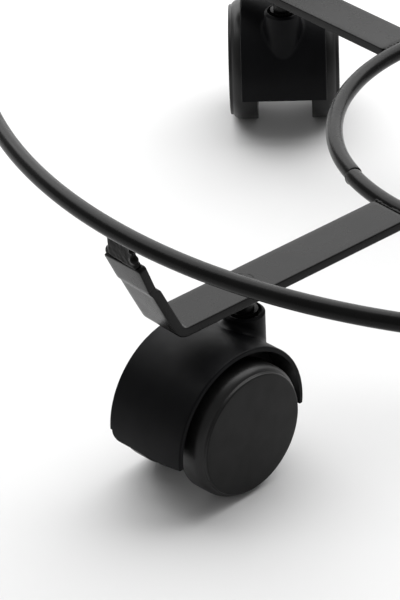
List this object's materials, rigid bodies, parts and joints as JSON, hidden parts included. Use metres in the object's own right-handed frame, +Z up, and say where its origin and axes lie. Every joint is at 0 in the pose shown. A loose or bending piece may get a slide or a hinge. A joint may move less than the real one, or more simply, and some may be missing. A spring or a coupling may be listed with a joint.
{
  "type": "plant pot caddy",
  "caption": "Round wire-ring plant pot caddy with flat strap arms, upturned lips and hooded twin-wheel swivel casters, all in satin black.",
  "frame": {"origin": "on the floor, under the common axis of the two rings", "axes": "+Z up along the axis of the rings; the four arms lie on the diagonals between X and Y, and -Y is the front"},
  "size_m": [0.3552, 0.3552, 0.0948],
  "materials": {
    "frame_paint": "satin black powder coat with fine orange peel",
    "weld_paint": "glossier black powder coat over rough weld metal",
    "hood_plastic": "satin black moulded nylon",
    "wheel_plastic": "black moulded wheel, lightly scuffed tread",
    "zinc_steel": "zinc-plated steel",
    "dark_steel": "blackened spring steel"
  },
  "bodies": {
    "frame": {"outer_ring": "frame_paint", "outer_ring_butt_weld": "weld_paint", "inner_ring": "frame_paint", "inner_ring_butt_weld": "weld_paint", "front_left_arm": "frame_paint", "front_left_rim_weld": "weld_paint", "front_left_inner_weld": "weld_paint", "front_left_stem": "zinc_steel", "front_left_retaining_ring": "dark_steel", "front_right_arm": "frame_paint", "front_right_rim_weld": "weld_paint", "front_right_inner_weld": "weld_paint", "front_right_stem": "zinc_steel", "front_right_retaining_ring": "dark_steel", "rear_right_arm": "frame_paint", "rear_right_rim_weld": "weld_paint", "rear_right_inner_weld": "weld_paint", "rear_right_stem": "zinc_steel", "rear_right_retaining_ring": "dark_steel", "rear_left_arm": "frame_paint", "rear_left_rim_weld": "weld_paint", "rear_left_inner_weld": "weld_paint", "rear_left_stem": "zinc_steel", "rear_left_retaining_ring": "dark_steel"},
    "front_left_caster": {"front_left_hood": "hood_plastic", "front_left_axle": "zinc_steel"},
    "front_left_left_wheel": {"front_left_left_wheel": "wheel_plastic"},
    "front_left_right_wheel": {"front_left_right_wheel": "wheel_plastic"},
    "front_right_caster": {"front_right_hood": "hood_plastic", "front_right_axle": "zinc_steel"},
    "front_right_left_wheel": {"front_right_left_wheel": "wheel_plastic"},
    "front_right_right_wheel": {"front_right_right_wheel": "wheel_plastic"},
    "rear_right_caster": {"rear_right_hood": "hood_plastic", "rear_right_axle": "zinc_steel"},
    "rear_right_left_wheel": {"rear_right_left_wheel": "wheel_plastic"},
    "rear_right_right_wheel": {"rear_right_right_wheel": "wheel_plastic"},
    "rear_left_caster": {"rear_left_hood": "hood_plastic", "rear_left_axle": "zinc_steel"},
    "rear_left_left_wheel": {"rear_left_left_wheel": "wheel_plastic"},
    "rear_left_right_wheel": {"rear_left_right_wheel": "wheel_plastic"}
  },
  "joints": [
    {"name": "front_left_swivel", "type": "hinge", "parent": "frame", "child": "front_left_caster", "pos_m": [-0.0921, -0.09062, 0.045], "axis": [0, 0, 1], "continuous": true},
    {"name": "front_left_left_wheel_spin", "type": "hinge", "parent": "front_left_caster", "child": "front_left_left_wheel", "pos_m": [-0.10266, -0.10277, 0.02], "axis": [0.7547, -0.6561, 0], "continuous": true},
    {"name": "front_left_right_wheel_spin", "type": "hinge", "parent": "front_left_caster", "child": "front_left_right_wheel", "pos_m": [-0.10266, -0.10277, 0.02], "axis": [0.7547, -0.6561, 0], "continuous": true},
    {"name": "front_right_swivel", "type": "hinge", "parent": "frame", "child": "front_right_caster", "pos_m": [0.09062, -0.0921, 0.045], "axis": [0, 0, 1], "continuous": true},
    {"name": "front_right_left_wheel_spin", "type": "hinge", "parent": "front_right_caster", "child": "front_right_left_wheel", "pos_m": [0.10601, -0.09681, 0.02], "axis": [0.2924, 0.9563, 0], "continuous": true},
    {"name": "front_right_right_wheel_spin", "type": "hinge", "parent": "front_right_caster", "child": "front_right_right_wheel", "pos_m": [0.10601, -0.09681, 0.02], "axis": [0.2924, 0.9563, 0], "continuous": true},
    {"name": "rear_right_swivel", "type": "hinge", "parent": "frame", "child": "rear_right_caster", "pos_m": [0.0921, 0.09062, 0.045], "axis": [0, 0, 1], "continuous": true},
    {"name": "rear_right_left_wheel_spin", "type": "hinge", "parent": "rear_right_caster", "child": "rear_right_left_wheel", "pos_m": [0.10618, 0.09842, 0.02], "axis": [-0.4848, 0.8746, 0], "continuous": true},
    {"name": "rear_right_right_wheel_spin", "type": "hinge", "parent": "rear_right_caster", "child": "rear_right_right_wheel", "pos_m": [0.10618, 0.09842, 0.02], "axis": [-0.4848, 0.8746, 0], "continuous": true},
    {"name": "rear_left_swivel", "type": "hinge", "parent": "frame", "child": "rear_left_caster", "pos_m": [-0.09062, 0.0921, 0.045], "axis": [0, 0, 1], "continuous": true},
    {"name": "rear_left_left_wheel_spin", "type": "hinge", "parent": "rear_left_caster", "child": "rear_left_left_wheel", "pos_m": [-0.09146, 0.10818, 0.02], "axis": [-0.9986, -0.0523, 0], "continuous": true},
    {"name": "rear_left_right_wheel_spin", "type": "hinge", "parent": "rear_left_caster", "child": "rear_left_right_wheel", "pos_m": [-0.09146, 0.10818, 0.02], "axis": [-0.9986, -0.0523, 0], "continuous": true}
  ]
}
